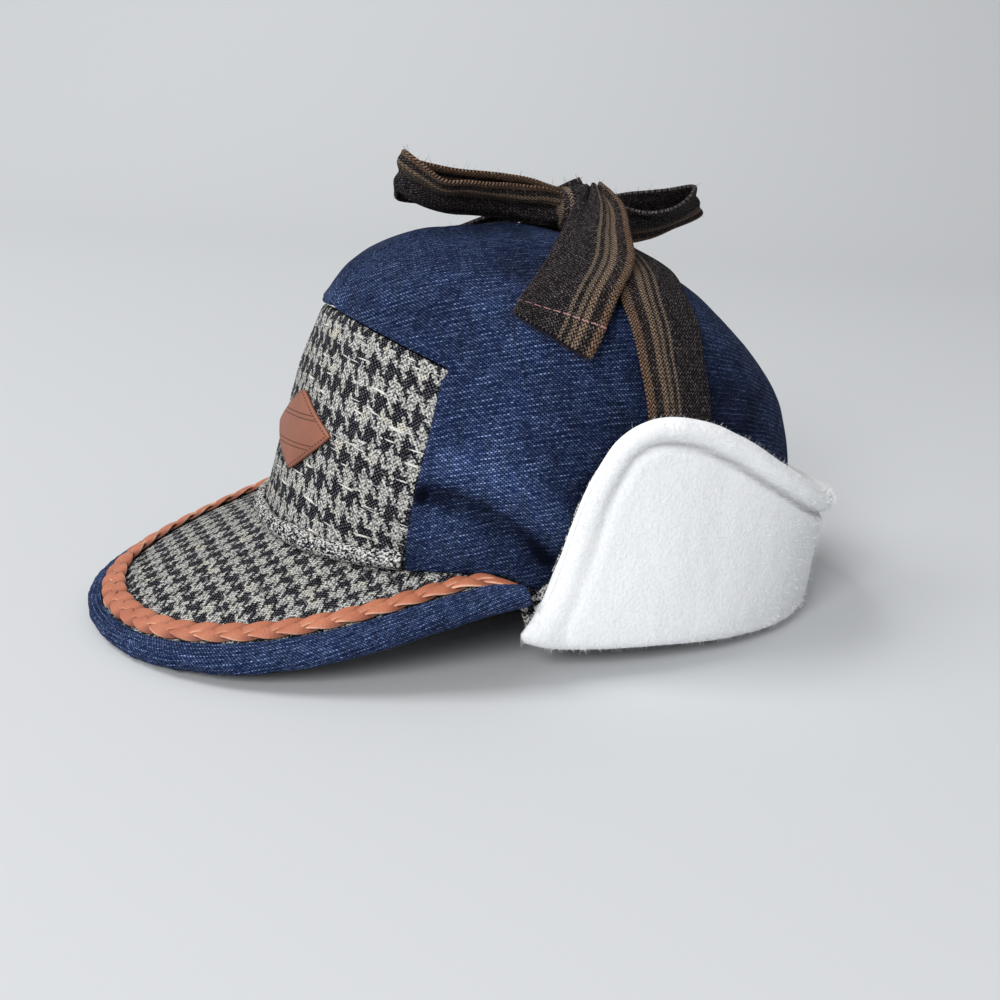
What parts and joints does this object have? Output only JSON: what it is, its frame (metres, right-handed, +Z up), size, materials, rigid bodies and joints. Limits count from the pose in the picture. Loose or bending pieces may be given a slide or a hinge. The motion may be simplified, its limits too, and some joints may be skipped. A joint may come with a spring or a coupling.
{
  "type": "winter cap",
  "caption": "Winter cap with a visor, a fleece flap band turned up round the sides and back, and flat ties that meet in a bow on top.",
  "frame": {"origin": "on the surface the cap rests on, under the middle of its outline", "axes": "the cap faces -Y, +X is its wearer's left, +Z is up"},
  "size_m": [0.1904, 0.2976, 0.1733],
  "materials": {
    "denim": "matte indigo denim",
    "houndstooth": "matte wool check",
    "leather": "satin tan leather",
    "fleece": "soft napped fleece",
    "wool_tape": "matte woven wool"
  },
  "bodies": {
    "root": {"front_panel": "houndstooth", "crown_left": "denim", "crown_right": "denim", "front_welt": "houndstooth", "visor": "houndstooth", "visor_binding": "denim", "visor_braid": "leather", "patch": "leather", "flap_fleece": "fleece", "flap_backing": "houndstooth", "tie_left": "wool_tape", "tie_right": "wool_tape", "bow_knot": "wool_tape", "bow_loop_front": "wool_tape", "bow_loop_back": "wool_tape", "tail_left": "wool_tape", "tail_right": "wool_tape"}
  },
  "joints": []
}
